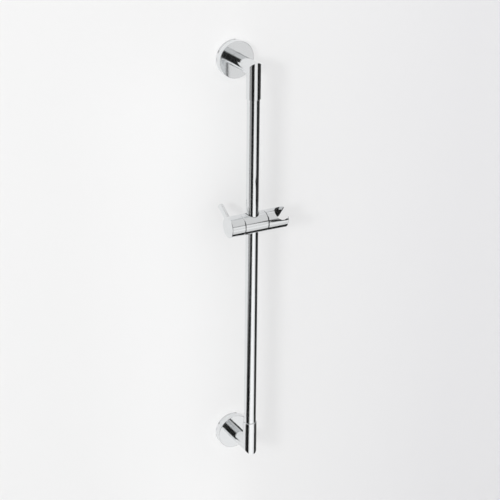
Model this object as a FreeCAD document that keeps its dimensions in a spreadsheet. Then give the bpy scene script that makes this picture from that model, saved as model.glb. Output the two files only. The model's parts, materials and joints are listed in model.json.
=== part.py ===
"""Shower slide rail: an upright tube between two mitred wall brackets, with a clamping hand-shower slider.

Frame: X runs along the wall to the right, +Y into the wall, Z up the tube. The origin is the centre of the
lower wall plate's back face, in the wall plane. Sizes are in millimetres and degrees.
"""
import FreeCAD, Part
import os
import re
import Sketcher

SIZES = {
    # Tube and brackets
    "tube_od": 20.0,
    "tube_wall": 1.2,
    "bracket_spacing": 652.0,
    "standoff": 65.5,
    "elbow_od": 22.5,
    "sleeve_reach": 47.0,
    "socket_depth": 30.0,
    "socket_clearance": 0.05,
    "sleeve_chamfer": 0.3,
    "end_ring_thickness": 1.5,
    "end_ring_width": 2.0,
    # Wall fixing
    "flange_od": 59.0,
    "flange_depth": 13.3,
    "flange_wall": 1.2,
    "flange_round": 0.5,
    "collar_length": 5.5,
    "collar_clearance": 0.1,
    "o_ring_section": 1.0,
    "o_ring_inset": 10.0,
    "plate_od": 50.0,
    "plate_thickness": 4.0,
    "spigot_od": 14.0,
    "spigot_length": 22.0,
    "spigot_clearance": 0.05,
    "spigot_chamfer": 1.0,
    "screw_spacing": 35.0,
    "screw_hole": 5.2,
    "screw_sink": 9.6,
    "grub_od": 5.0,
    "grub_length": 4.0,
    "grub_inset": 20.0,
    "grub_hex": 2.5,
    "grub_hex_depth": 2.2,
    # Slider body and bush
    "slider_height": 402.5,
    "slider_od": 33.6,
    "body_left": 19.6,
    "body_right": 21.0,
    "joint_chamfer": 0.7,
    "lip_clearance": 0.8,
    "bush_od": 24.0,
    "bush_length": 16.4,
    "bush_clearance": 0.06,
    "bush_slit": 1.5,
    "bush_chamfer": 0.4,
    "seat_clearance": 0.05,
    "axial_play": 0.1,
    "snap_ring_thickness": 1.0,
    "snap_ring_width": 1.8,
    "snap_ring_bite": 0.7,
    "snap_ring_opening": 40.0,
    # Clamp
    "pad_od": 8.3,
    "pad_length": 3.3,
    "contact_gap": 0.05,
    "thread_clearance": 0.05,
    "clamp_screw_od": 10.0,
    "clamp_screw_chamfer": 0.8,
    "knob_gap": 0.2,
    "knob_length": 23.0,
    "knob_end_wall": 2.2,
    "knob_end_chamfer": 0.5,
    "lever_inset": 7.3,
    "lever_od": 9.1,
    "lever_length": 27.6,
    "lever_seat": 0.9,
    "lever_tail_od": 6.0,
    "lever_tip_chamfer": 0.6,
    "lever_back_lean": 60.0,
    # Hand-shower holder
    "washer_thickness": 0.5,
    "washer_inset": 0.9,
    "holder_length": 35.4,
    "holder_end_chamfer": 0.6,
    "pivot_boss_od": 14.0,
    "pivot_boss_length": 3.0,
    "pivot_clearance": 0.05,
    "pivot_web": 6.3,
    "pivot_screw_od": 6.0,
    "pivot_head_od": 10.0,
    "pivot_head_height": 4.0,
    "pivot_head_room": 0.9,
    "pivot_hex": 4.0,
    "pivot_hex_depth": 2.4,
    "pivot_tip_wall": 1.3,
    "spring_height": 1.0,
    "spring_thickness": 0.6,
    "spring_width": 2.2,
    "seat_inset": 9.4,
    "seat_top": 24.6,
    "seat_bottom": 19.6,
    "seat_tilt": 38.0,
    "hose_slot": 18.0,
}

# How far a cutting profile runs past the face that it cuts
PAST = "1"

# Radii
TUBE_R = "tube_od / 2"
ELBOW_R = "elbow_od / 2"
SOCKET_R = "(tube_od / 2 + socket_clearance)"
FLANGE_R = "flange_od / 2"
COLLAR_R = "(elbow_od / 2 + collar_clearance)"
SPIGOT_R = "spigot_od / 2"
SPIGOT_BORE_R = "(spigot_od / 2 + spigot_clearance)"
SLIDER_R = "slider_od / 2"
BUSH_R = "bush_od / 2"
BUSH_BORE_R = "(bush_od / 2 + seat_clearance)"
CLAMP_R = "clamp_screw_od / 2"
BOSS_R = "pivot_boss_od / 2"
PIVOT_R = "pivot_screw_od / 2"

# Stations along the tube, from the arm's axis
SOCKET_FLOOR = "(sleeve_reach - socket_depth)"
RAIL_START = "(sleeve_reach - socket_depth + end_ring_thickness)"
O_RING_GROOVE = "(o_ring_section + 2 * contact_gap)"

# Stations along the slider, from the tube's axis: the clamp to the left, the holder to the right
PAD_FACE = "(bush_od / 2 + contact_gap)"
PAD_BACK = f"({PAD_FACE} + pad_length)"
CLAMP_TIP = f"({PAD_BACK} + contact_gap)"
KNOB_START = "(body_left + knob_gap)"
KNOB_END = f"({KNOB_START} + knob_length)"
STUD_END = f"({KNOB_END} - knob_end_wall - axial_play)"
LEVER_X = f"({KNOB_END} - lever_inset)"
HOLDER_START = "(body_right + washer_thickness + 2 * contact_gap)"
HOLDER_END = f"({HOLDER_START} + holder_length)"
BOSS_END = "(body_right + pivot_boss_length)"
RECESS_END = f"({BOSS_END} + axial_play)"
PIVOT_FLOOR = f"({RECESS_END} + pivot_web)"
PIVOT_HEAD = f"({PIVOT_FLOOR} + contact_gap + spring_height)"
PIVOT_HEAD_END = f"({PIVOT_HEAD} + pivot_head_height)"
PIVOT_TIP = f"({BUSH_BORE_R} + pivot_tip_wall)"
SEAT_X = f"({HOLDER_END} - seat_inset)"

ALONG_X = FreeCAD.Vector(1, 0, 0)
ALONG_Y = FreeCAD.Vector(0, 1, 0)
TINY = 1e-9

doc = FreeCAD.newDocument("ShowerSlideRail")
sheet = doc.addObject("Spreadsheet::Sheet", "Sizes")
for row, (alias, size) in enumerate(SIZES.items(), start=1):
    sheet.set(f"A{row}", alias)
    sheet.set(f"B{row}", str(size))
    sheet.setAlias(f"B{row}", alias)
doc.recompute()

pieces = []


def expression(text):
    """Point each size named in the text at its cell in the sheet."""
    return re.sub(r"[a-z][a-z_]*", lambda word: f"Sizes.{word[0]}" if word[0] in SIZES else word[0], text)


def value(text):
    return float(sheet.evalExpression(expression(text)))


def bind(thing, prop, text):
    thing.setExpression(prop, expression(text))


def piece(label, out="0", up="0", turn=None, angle="0"):
    """Start a sub-part with its own axes, set out from the wall and up the tube, turned about one axis."""
    body = doc.addObject("PartDesign::Body", label)
    body.Label = label
    if turn is not None:
        body.Placement = FreeCAD.Placement(FreeCAD.Vector(), FreeCAD.Rotation(turn, value(angle)))
        bind(body, "Placement.Rotation.Angle", angle)
    bind(body, "Placement.Base.y", f"-({out})")
    bind(body, "Placement.Base.z", up)
    pieces.append(body)
    return body


def slider_piece(label, angle="0"):
    """A sub-part of the slider: its X is the slider's axis and its Z the tube's, turned about X."""
    return piece(label, "standoff", "slider_height", ALONG_X, angle)


def origin_feature(body, role):
    return next(feature for feature in body.Origin.OriginFeatures if feature.Role == role)


def sketch(body, plane, across="0", up="0", lift="0"):
    """An empty sketch on one of the body's own planes, with its origin shifted in that plane and lifted off it."""
    drawing = body.newObject("Sketcher::SketchObject", f"{body.Label}_sketch")
    drawing.AttachmentSupport = [(origin_feature(body, plane), "")]
    drawing.MapMode = "FlatFace"
    for axis, shift in zip("xyz", (across, up, lift)):
        if shift != "0":
            bind(drawing, f"AttachmentOffset.Base.{axis}", shift)
    return drawing


def hold(drawing, line, kind, text):
    """Hold the start of a line at a distance from the sketch's origin, or on its axis where that is nought."""
    size = value(text)
    if abs(size) < TINY:
        drawing.addConstraint(Sketcher.Constraint("PointOnObject", line, 1, -2 if kind == "DistanceX" else -1))
        return
    ends = (-1, 1, line, 1) if size > 0 else (line, 1, -1, 1)
    index = drawing.addConstraint(Sketcher.Constraint(kind, *ends, abs(size)))
    bind(drawing, f"Constraints[{index}]", text if size > 0 else f"-({text})")


def outline(drawing, *corners):
    """Draw a closed outline whose corners are held by the sizes."""
    spots = [FreeCAD.Vector(value(across), value(up), 0) for across, up in corners]
    first = drawing.GeometryCount
    lines = [first + i for i in range(len(corners))]
    for start, end in zip(spots, spots[1:] + spots[:1]):
        drawing.addGeometry(Part.LineSegment(start, end), False)
    for line, following in zip(lines, lines[1:] + lines[:1]):
        drawing.addConstraint(Sketcher.Constraint("Coincident", line, 2, following, 1))
    for line, (across, up) in zip(lines, corners):
        hold(drawing, line, "DistanceX", across)
        hold(drawing, line, "DistanceY", up)


def block(drawing, left, right, low, high):
    outline(drawing, (left, low), (right, low), (right, high), (left, high))


def circle(drawing, across, diameter):
    """A circle on the sketch's horizontal line through its origin."""
    centre = FreeCAD.Vector(value(across), 0, 0)
    ring = drawing.addGeometry(Part.Circle(centre, FreeCAD.Vector(0, 0, 1), value(diameter) / 2), False)
    drawing.addConstraint(Sketcher.Constraint("PointOnObject", ring, 3, -1))
    if abs(value(across)) < TINY:
        drawing.addConstraint(Sketcher.Constraint("PointOnObject", ring, 3, -2))
    else:
        index = drawing.addConstraint(Sketcher.Constraint("DistanceX", -1, 1, ring, 3, value(across)))
        bind(drawing, f"Constraints[{index}]", across)
    index = drawing.addConstraint(Sketcher.Constraint("Diameter", ring, value(diameter)))
    bind(drawing, f"Constraints[{index}]", diameter)


def hexagon(drawing, flats):
    """A hexagon about the sketch's origin, given across its flats."""
    flat, half, point = f"{flats} / 2", f"{flats} / (2 * sqrt(3))", f"{flats} / sqrt(3)"
    outline(drawing, (flat, half), ("0", point), (f"-{flat}", half),
            (f"-{flat}", f"-{half}"), ("0", f"-{point}"), (flat, f"-{half}"))


def turned(drawing, axis, angle="360"):
    """Revolve a sketch about one of its own axes."""
    body = drawing.getParentGeoFeatureGroup()
    feature = body.newObject("PartDesign::Revolution", f"{body.Label}_turned")
    feature.Profile = drawing
    feature.ReferenceAxis = (drawing, [axis])
    bind(feature, "Angle", angle)
    return feature


def removed(body, feature):
    """Make sure that a cut has taken material away."""
    before = body.Shape.Volume
    doc.recompute()
    if not body.Shape.Volume < before:
        raise RuntimeError(f"{feature.Name} cuts nothing")
    return feature


def bored(drawing, axis):
    """Cut a sketch's revolved shape out of its body."""
    body = drawing.getParentGeoFeatureGroup()
    doc.recompute()
    feature = body.newObject("PartDesign::Groove", f"{body.Label}_bored")
    feature.Profile = drawing
    feature.ReferenceAxis = (drawing, [axis])
    feature.Angle = 360
    return removed(body, feature)


def slotted(drawing):
    """Cut a sketch's outline right through its body, both ways."""
    body = drawing.getParentGeoFeatureGroup()
    doc.recompute()
    feature = body.newObject("PartDesign::Pocket", f"{body.Label}_slotted")
    feature.Profile = drawing
    feature.Type = "ThroughAll"
    feature.SideType = "Symmetric"
    return removed(body, feature)


def sunk(drawing, depth):
    """Cut a sketch's outline into its body, down from the sketch."""
    body = drawing.getParentGeoFeatureGroup()
    doc.recompute()
    feature = body.newObject("PartDesign::Pocket", f"{body.Label}_sunk")
    feature.Profile = drawing
    bind(feature, "Length", depth)
    return removed(body, feature)


def circular_edges(shape, radius, place, along):
    """Names of the whole circles of one radius whose centre has the stated place along an axis."""
    return [
        f"Edge{number}"
        for number, edge in enumerate(shape.Edges, start=1)
        if isinstance(edge.Curve, Part.Circle)
        and abs(edge.Curve.Radius - radius) < 1e-6
        and abs(edge.Curve.Center.dot(along) - place) < 1e-6
    ]


def rail_tube():
    tube = piece("rail_tube", "standoff")
    section = sketch(tube, "XZ_Plane")
    block(section, f"{TUBE_R} - tube_wall", TUBE_R, RAIL_START, f"bracket_spacing - {RAIL_START}")
    turned(section, "V_Axis")


def elbow(end, up, angle, grub_side):
    """Arm, sharp mitre and sleeve in one casting; grub_side is where the set screw enters the arm."""
    body = piece(f"{end}_elbow", "0", up, ALONG_Y, angle)
    path = sketch(body, "YZ_Plane")
    wall, corner, mouth = ("-plate_thickness", "0"), ("-standoff", "0"), ("-standoff", "sleeve_reach")
    spots = [FreeCAD.Vector(value(across), value(height), 0) for across, height in (wall, corner, mouth)]
    path.addGeometry(Part.LineSegment(spots[0], spots[1]), False)
    path.addGeometry(Part.LineSegment(spots[1], spots[2]), False)
    path.addConstraint(Sketcher.Constraint("Coincident", 0, 2, 1, 1))
    path.addConstraint(Sketcher.Constraint("PointOnObject", 0, 1, -1))
    path.addConstraint(Sketcher.Constraint("Horizontal", 0))
    path.addConstraint(Sketcher.Constraint("Vertical", 1))
    for line, point, kind, size in ((0, 1, "DistanceX", "plate_thickness"), (1, 1, "DistanceX", "standoff")):
        index = path.addConstraint(Sketcher.Constraint(kind, line, point, -1, 1, value(size)))
        bind(path, f"Constraints[{index}]", size)
    index = path.addConstraint(Sketcher.Constraint("DistanceY", -1, 1, 1, 2, value("sleeve_reach")))
    bind(path, f"Constraints[{index}]", "sleeve_reach")
    section = sketch(body, "XZ_Plane", lift="plate_thickness")
    circle(section, "0", "elbow_od")
    doc.recompute()
    pipe = body.newObject("PartDesign::AdditivePipe", f"{end}_elbow_pipe")
    pipe.Profile = section
    pipe.Spine = (path, ["Edge1", "Edge2"])
    pipe.Transition = "Right corner"
    doc.recompute()
    socket = sketch(body, "YZ_Plane", across="-standoff")
    block(socket, "0", SOCKET_R, SOCKET_FLOOR, f"sleeve_reach + {PAST}")
    outline(socket, (f"{ELBOW_R} - sleeve_chamfer", "sleeve_reach"), (ELBOW_R, "sleeve_reach - sleeve_chamfer"),
            (f"{ELBOW_R} + {PAST}", "sleeve_reach - sleeve_chamfer"),
            (f"{ELBOW_R} + {PAST}", f"sleeve_reach + {PAST}"),
            (f"{ELBOW_R} - sleeve_chamfer", f"sleeve_reach + {PAST}"))
    bored(socket, "V_Axis")
    arm = sketch(body, "XY_Plane")
    block(arm, "0", SPIGOT_BORE_R, "-(plate_thickness + spigot_length + axial_play)", f"{PAST} - plate_thickness")
    block(arm, f"{ELBOW_R} - o_ring_section + collar_clearance", f"{ELBOW_R} + {PAST}",
          f"-(o_ring_inset + {O_RING_GROOVE} / 2)", f"{O_RING_GROOVE} / 2 - o_ring_inset")
    bored(arm, "V_Axis")
    thread = sketch(body, "YZ_Plane", across="-grub_inset")
    near, far = f"({SPIGOT_R} - {PAST})", f"({ELBOW_R} + {PAST})"
    low, high = (f"-{far}", f"-{near}") if grub_side < 0 else (near, far)
    block(thread, "0", "grub_od / 2 + thread_clearance", low, high)
    bored(thread, "V_Axis")


def arm_grub_screw(end, up):
    """Socket set screw under the arm: its flat end bears on the spigot."""
    screw = piece(f"{end}_arm_grub_screw", "grub_inset", f"{up} - {SPIGOT_R} - contact_gap")
    section = sketch(screw, "XZ_Plane")
    block(section, "0", "grub_od / 2", "-grub_length", "0")
    turned(section, "V_Axis")
    key = sketch(screw, "XY_Plane", lift="grub_hex_depth - grub_length")
    hexagon(key, "grub_hex")
    sunk(key, "grub_length")


def rail_end_ring(end, up):
    ring = piece(f"{end}_rail_end_ring", "standoff", up)
    section = sketch(ring, "XZ_Plane")
    block(section, f"{TUBE_R} - end_ring_width", TUBE_R, "0", "end_ring_thickness")
    turned(section, "V_Axis")


def flange_cover(end, up):
    """Drawn cup over the wall plate, with a rounded front edge and a collar turned in round the arm."""
    cover = piece(f"{end}_flange_cover", "0", up)
    section = sketch(cover, "XY_Plane")
    outline(section, (FLANGE_R, "0"), (FLANGE_R, "-flange_depth"), (COLLAR_R, "-flange_depth"),
            (COLLAR_R, "collar_length - flange_depth"), (f"{COLLAR_R} + flange_wall", "collar_length - flange_depth"),
            (f"{COLLAR_R} + flange_wall", "flange_wall - flange_depth"),
            (f"{FLANGE_R} - flange_wall", "flange_wall - flange_depth"), (f"{FLANGE_R} - flange_wall", "0"))
    cup = turned(section, "V_Axis")
    doc.recompute()
    front = circular_edges(cup.Shape, value(FLANGE_R), -value("flange_depth"), ALONG_Y)
    rounding = cover.newObject("PartDesign::Fillet", f"{end}_flange_round")
    rounding.Base = (cup, front)
    bind(rounding, "Radius", "flange_round")


def wall_plate(end, up):
    """Turned plate with a spigot for the arm and two countersunk screw holes."""
    plate = piece(f"{end}_wall_plate", "0", up)
    section = sketch(plate, "XY_Plane")
    tip = "(plate_thickness + spigot_length)"
    outline(section, ("0", "0"), ("plate_od / 2", "0"), ("plate_od / 2", "-plate_thickness"),
            (SPIGOT_R, "-plate_thickness"), (SPIGOT_R, f"spigot_chamfer - {tip}"),
            (f"{SPIGOT_R} - spigot_chamfer", f"-{tip}"), ("0", f"-{tip}"))
    turned(section, "V_Axis")
    hole = sketch(plate, "XY_Plane", across="screw_spacing / 2")
    outline(hole, ("0", PAST), ("screw_hole / 2", PAST),
            ("screw_hole / 2", "(screw_sink - screw_hole) / 2 - plate_thickness"),
            ("screw_sink / 2", "-plate_thickness"), ("screw_sink / 2", f"-plate_thickness - {PAST}"),
            ("0", f"-plate_thickness - {PAST}"))
    first = bored(hole, "V_Axis")
    both = plate.newObject("PartDesign::PolarPattern", f"{end}_wall_plate_holes")
    both.Originals = [first]
    both.Axis = (origin_feature(plate, "Y_Axis"), [""])
    both.Angle = 360
    both.Occurrences = 2
    plate.Tip = both


def cover_o_ring(end, up):
    ring = piece(f"{end}_cover_o_ring", "o_ring_inset", up)
    section = sketch(ring, "XY_Plane")
    circle(section, f"{ELBOW_R} + collar_clearance - o_ring_section / 2", "o_ring_section - contact_gap")
    turned(section, "V_Axis")


def slider_body():
    """Middle of the slider: a bore up the tube with a lip on top, a clamp thread left and a pivot boss right."""
    body = slider_piece("slider_body")
    section = sketch(body, "XZ_Plane")
    outline(section, ("-body_left", "0"), ("-body_left", f"{SLIDER_R} - joint_chamfer"),
            ("joint_chamfer - body_left", SLIDER_R), ("body_right - joint_chamfer", SLIDER_R),
            ("body_right", f"{SLIDER_R} - joint_chamfer"), ("body_right", BOSS_R), (BOSS_END, BOSS_R), (BOSS_END, "0"))
    turned(section, "H_Axis")
    bore = sketch(body, "XZ_Plane")
    floor, top = f"(-{SLIDER_R} - {PAST})", f"({SLIDER_R} + {PAST})"
    lip, lip_r = "(bush_length / 2 + axial_play)", f"({TUBE_R} + lip_clearance)"
    groove_top, groove_low = "(-bush_length / 2)", "(-bush_length / 2 - snap_ring_thickness - axial_play)"
    groove_r = f"({BUSH_BORE_R} + snap_ring_bite)"
    outline(bore, ("0", floor), (BUSH_BORE_R, floor), (BUSH_BORE_R, groove_low), (groove_r, groove_low),
            (groove_r, groove_top), (BUSH_BORE_R, groove_top), (BUSH_BORE_R, lip), (lip_r, lip), (lip_r, top), ("0", top))
    bored(bore, "V_Axis")
    threads = sketch(body, "XZ_Plane")
    start, end = f"(-body_left - {PAST})", f"(contact_gap - {PAD_BACK})"
    pad_bore_r = "(pad_od / 2 + seat_clearance)"
    outline(threads, (start, "0"), (start, f"{CLAMP_R} + thread_clearance"), (end, f"{CLAMP_R} + thread_clearance"),
            (end, pad_bore_r), (f"-{TUBE_R}", pad_bore_r), (f"-{TUBE_R}", "0"))
    block(threads, f"{PIVOT_TIP} - axial_play", f"{BOSS_END} + {PAST}", "0", f"{PIVOT_R} + thread_clearance")
    bored(threads, "H_Axis")


def glide_bush():
    """Split sleeve that runs on the tube."""
    bush = slider_piece("glide_bush")
    section = sketch(bush, "XZ_Plane")
    inner, half = f"({TUBE_R} + bush_clearance)", "bush_length / 2"
    outline(section, (inner, f"-{half}"), (f"{BUSH_R} - bush_chamfer", f"-{half}"), (BUSH_R, f"bush_chamfer - {half}"),
            (BUSH_R, f"{half} - bush_chamfer"), (f"{BUSH_R} - bush_chamfer", half), (inner, half))
    turned(section, "V_Axis")
    slit = sketch(bush, "XY_Plane")
    block(slit, "-bush_slit / 2", "bush_slit / 2", "0", f"{BUSH_R} + {PAST}")
    slotted(slit)


def bush_snap_ring():
    """Open ring in the groove under the bush."""
    ring = slider_piece("bush_snap_ring")
    section = sketch(ring, "XZ_Plane", up="-bush_length / 2 - snap_ring_thickness")
    outer = f"({BUSH_BORE_R} + snap_ring_bite - seat_clearance)"
    block(section, f"{outer} - snap_ring_width", outer, "0", "snap_ring_thickness - contact_gap")
    turned(section, "V_Axis", "360 - snap_ring_opening")


def brake_pad():
    """Plug whose hollow face bears on the bush."""
    pad = slider_piece("brake_pad")
    section = sketch(pad, "XZ_Plane")
    block(section, f"-{PAD_BACK}", f"-{TUBE_R}", "0", "pad_od / 2")
    turned(section, "H_Axis")
    face = sketch(pad, "XZ_Plane")
    block(face, "0", PAD_FACE, f"-pad_od / 2 - {PAST}", f"pad_od / 2 + {PAST}")
    bored(face, "V_Axis")


def clamp_screw():
    stud = slider_piece("clamp_screw")
    section = sketch(stud, "XZ_Plane")
    outline(section, (f"-{STUD_END}", "0"), (f"-{STUD_END}", CLAMP_R), (f"-{CLAMP_TIP} - clamp_screw_chamfer", CLAMP_R),
            (f"-{CLAMP_TIP}", f"{CLAMP_R} - clamp_screw_chamfer"), (f"-{CLAMP_TIP}", "0"))
    turned(section, "H_Axis")


def clamp_knob():
    """Left end of the slider: bored for the stud, with a seat for the lever rod."""
    knob = slider_piece("clamp_knob", "-lever_back_lean")
    section = sketch(knob, "XZ_Plane")
    outline(section, (f"-{KNOB_END}", "0"), (f"-{KNOB_END}", f"{SLIDER_R} - knob_end_chamfer"),
            (f"knob_end_chamfer - {KNOB_END}", SLIDER_R), (f"-{KNOB_START} - joint_chamfer", SLIDER_R),
            (f"-{KNOB_START}", f"{SLIDER_R} - joint_chamfer"), (f"-{KNOB_START}", "0"))
    turned(section, "H_Axis")
    stud = sketch(knob, "XZ_Plane")
    block(stud, f"knob_end_wall - {KNOB_END}", f"{PAST} - {KNOB_START}", "0", f"{CLAMP_R} + seat_clearance")
    bored(stud, "H_Axis")
    seat = sketch(knob, "XZ_Plane", across=f"-{LEVER_X}")
    tail_r, rod_r = "(lever_tail_od / 2 + thread_clearance)", "(lever_od / 2 + seat_clearance)"
    floor = f"({SLIDER_R} - lever_seat)"
    outline(seat, ("0", f"{CLAMP_R} - {PAST}"), (tail_r, f"{CLAMP_R} - {PAST}"), (tail_r, floor), (rod_r, floor),
            (rod_r, f"{SLIDER_R} + {PAST}"), ("0", f"{SLIDER_R} + {PAST}"))
    bored(seat, "V_Axis")


def lever_pin():
    """Lever rod: its threaded tail locks the stud in the knob."""
    pin = slider_piece("lever_pin", "-lever_back_lean")
    section = sketch(pin, "XZ_Plane", across=f"-{LEVER_X}")
    tip, floor = f"({SLIDER_R} + lever_length)", f"({SLIDER_R} - lever_seat)"
    outline(section, ("0", f"{CLAMP_R} + contact_gap"), ("lever_tail_od / 2", f"{CLAMP_R} + contact_gap"),
            ("lever_tail_od / 2", floor), ("lever_od / 2", floor), ("lever_od / 2", f"{tip} - lever_tip_chamfer"),
            ("lever_od / 2 - lever_tip_chamfer", tip), ("0", tip))
    turned(section, "V_Axis")


def handset_holder():
    """Right end of the slider: a cylinder with an open conical seat, leaning forward, and a slot for the hose."""
    holder = slider_piece("handset_holder", "seat_tilt")
    section = sketch(holder, "XZ_Plane")
    outline(section, (HOLDER_START, "0"), (HOLDER_START, f"{SLIDER_R} - joint_chamfer"),
            (f"{HOLDER_START} + joint_chamfer", SLIDER_R), (f"{HOLDER_END} - holder_end_chamfer", SLIDER_R),
            (HOLDER_END, f"{SLIDER_R} - holder_end_chamfer"), (HOLDER_END, "0"))
    turned(section, "H_Axis")
    seat = sketch(holder, "XZ_Plane", across=SEAT_X)
    half = f"({SLIDER_R} + {PAST})"
    middle, taper = "(seat_top + seat_bottom) / 4", f"(seat_top - seat_bottom) / (2 * slider_od) * {half}"
    outline(seat, ("0", f"-{half}"), (f"{middle} - {taper}", f"-{half}"), (f"{middle} + {taper}", half), ("0", half))
    bored(seat, "V_Axis")
    slot = sketch(holder, "XY_Plane")
    block(slot, SEAT_X, f"{HOLDER_END} + {PAST}", "-hose_slot / 2", "hose_slot / 2")
    slotted(slot)
    pivot = sketch(holder, "XZ_Plane")
    recess_r, hole_r = f"({BOSS_R} + pivot_clearance)", f"({PIVOT_R} + pivot_clearance)"
    head_r = "(pivot_head_od / 2 + pivot_head_room)"
    outline(pivot, (f"{HOLDER_START} - {PAST}", "0"), (f"{HOLDER_START} - {PAST}", recess_r), (RECESS_END, recess_r),
            (RECESS_END, hole_r), (PIVOT_FLOOR, hole_r), (PIVOT_FLOOR, head_r), (SEAT_X, head_r), (SEAT_X, "0"))
    bored(pivot, "H_Axis")


def pivot_screw():
    """Socket screw that the holder turns on, fixed in the slider body."""
    screw = slider_piece("pivot_screw")
    section = sketch(screw, "XZ_Plane")
    outline(section, (PIVOT_TIP, "0"), (PIVOT_TIP, PIVOT_R), (PIVOT_HEAD, PIVOT_R), (PIVOT_HEAD, "pivot_head_od / 2"),
            (PIVOT_HEAD_END, "pivot_head_od / 2"), (PIVOT_HEAD_END, "0"))
    turned(section, "H_Axis")
    key = sketch(screw, "YZ_Plane", lift=PIVOT_HEAD_END)
    hexagon(key, "pivot_hex")
    sunk(key, "pivot_hex_depth")


def pivot_spring_washer():
    """Coned washer under the screw's head: its wide rim bears on the holder."""
    washer = slider_piece("pivot_spring_washer")
    section = sketch(washer, "XZ_Plane", across=f"{PIVOT_FLOOR} + contact_gap")
    inner, outer = f"({PIVOT_R} + pivot_clearance)", f"({PIVOT_R} + pivot_clearance + spring_width)"
    outline(section, ("0", outer), ("spring_thickness", outer), ("spring_height", inner),
            ("spring_height - spring_thickness", inner))
    turned(section, "H_Axis")


def holder_washer():
    washer = slider_piece("holder_washer")
    section = sketch(washer, "XZ_Plane", across="body_right + contact_gap")
    block(section, "0", "washer_thickness", f"{BOSS_R} + pivot_clearance", f"{SLIDER_R} - washer_inset")
    turned(section, "H_Axis")


def main():
    rail_tube()
    for end, up, angle, grub_side in (("lower", "0", "0", -1), ("upper", "bracket_spacing", "180", 1)):
        elbow(end, up, angle, grub_side)
        wall_plate(end, up)
        flange_cover(end, up)
        cover_o_ring(end, up)
        arm_grub_screw(end, up)
    rail_end_ring("lower", SOCKET_FLOOR)
    rail_end_ring("upper", f"bracket_spacing - {RAIL_START}")
    for make in (glide_bush, slider_body, bush_snap_ring, holder_washer, pivot_screw, pivot_spring_washer,
                 brake_pad, clamp_screw, clamp_knob, lever_pin, handset_holder):
        make()
    doc.recompute()
    for thing in doc.Objects:
        if "Invalid" in thing.State or "Error" in thing.State:
            raise RuntimeError(f"{thing.Label} failed: {thing.State}")
    os.makedirs("parts", exist_ok=True)
    for body in pieces:
        if body.Shape.isNull() or not body.Shape.isValid() or len(body.Shape.Solids) != 1:
            raise RuntimeError(f"{body.Label} is not one sound solid")
        body.Shape.exportStep(f"parts/{body.Label}.step")


main()
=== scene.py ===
"""Shower slide rail: turned pieces, their finishes and a small studio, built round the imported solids."""
import json
import math

import bmesh
import bpy
from bpy.props import FloatProperty, FloatVectorProperty, IntProperty, PointerProperty
from bpy.types import Operator, Panel, PropertyGroup
from mathutils import Matrix, Vector


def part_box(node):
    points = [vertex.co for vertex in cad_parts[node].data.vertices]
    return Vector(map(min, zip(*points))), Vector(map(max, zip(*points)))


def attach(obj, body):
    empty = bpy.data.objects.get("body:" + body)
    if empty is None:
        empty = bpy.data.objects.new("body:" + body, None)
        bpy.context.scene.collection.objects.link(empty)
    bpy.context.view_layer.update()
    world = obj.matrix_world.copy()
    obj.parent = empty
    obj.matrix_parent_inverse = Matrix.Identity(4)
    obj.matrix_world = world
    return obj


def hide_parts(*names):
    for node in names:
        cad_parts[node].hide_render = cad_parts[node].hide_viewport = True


bl_info = {
    "name": "Shower slide rail",
    "version": (1, 0, 0),
    "blender": (4, 5, 0),
    "location": "View3D > Sidebar > Slide Rail",
    "description": "Builds the visible pieces of a wall-mounted shower slide rail and its studio",
    "category": "Object",
}

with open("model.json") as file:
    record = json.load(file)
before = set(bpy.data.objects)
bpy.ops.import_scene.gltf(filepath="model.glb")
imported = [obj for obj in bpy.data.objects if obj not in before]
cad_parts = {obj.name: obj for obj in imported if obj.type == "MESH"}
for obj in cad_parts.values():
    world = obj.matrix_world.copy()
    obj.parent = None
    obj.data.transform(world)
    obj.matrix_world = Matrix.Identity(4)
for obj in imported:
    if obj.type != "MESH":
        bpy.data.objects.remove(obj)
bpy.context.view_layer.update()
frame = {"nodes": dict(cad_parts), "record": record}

MM = 0.001
ENDS = ("lower", "upper")

# Reference places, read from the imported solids
tube_low, tube_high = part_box("rail_tube")
elbow_low, elbow_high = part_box("lower_elbow")
_, upper_elbow_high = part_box("upper_elbow")
cover_low, cover_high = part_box("lower_flange_cover")
slider_low, slider_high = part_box("slider_body")
knob_low, knob_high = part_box("clamp_knob")
holder_low, holder_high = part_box("handset_holder")
lever_low, lever_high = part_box("lever_pin")
seat = next(mount for mount in frame["record"]["mounts"] if mount["name"] == "handset_seat")

TUBE_RADIUS = (tube_high.x - tube_low.x) / 2
ELBOW_RADIUS = (elbow_high.x - elbow_low.x) / 2
COVER_RADIUS = (cover_high.x - cover_low.x) / 2
STANDOFF = -(tube_low.y + tube_high.y) / 2
BRACKET_SPACING = upper_elbow_high.z - ELBOW_RADIUS
SLIDER_RADIUS = (slider_high.z - slider_low.z) / 2
SLIDER_CENTRE = Vector((0, -STANDOFF, (slider_low.z + slider_high.z) / 2))
SEAT_TILT = math.atan2(-seat["axis"][1], seat["axis"][2])
SEAT_X = seat["pos_m"][0]
LEVER_X = (lever_low.x + lever_high.x) / 2

# What takes a turned piece's own axis, Z, to where the piece lies
OUT_OF_WALL = Matrix.Rotation(math.radians(90), 4, "X")
ON_SLIDER = Matrix.Translation(SLIDER_CENTRE) @ Matrix.Rotation(math.radians(90), 4, "Y")

# The circle that a half section is swept along, the steps of a rounding's arc and the short flats beside it
SWEEP_RADIUS = 20 * MM
ARC_STEPS = 8
SUPPORT = 0.02 * MM
# Points closer than this are merged, and edges that turn by more than this are sharp
MERGE_DISTANCE = 0.001 * MM
SHARP_ANGLE = math.radians(28)
# How far a cutting tool reaches past what it cuts
PAST = 1 * MM

# How much finer the grain of a moulded skin is than its flow marks
SKIN_FINENESS = 14

# What stands closer to the wall or floor than this sees through it, and half the width of the change
AGAINST = 5 * MM
AGAINST_SOFT = 1 * MM

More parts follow.
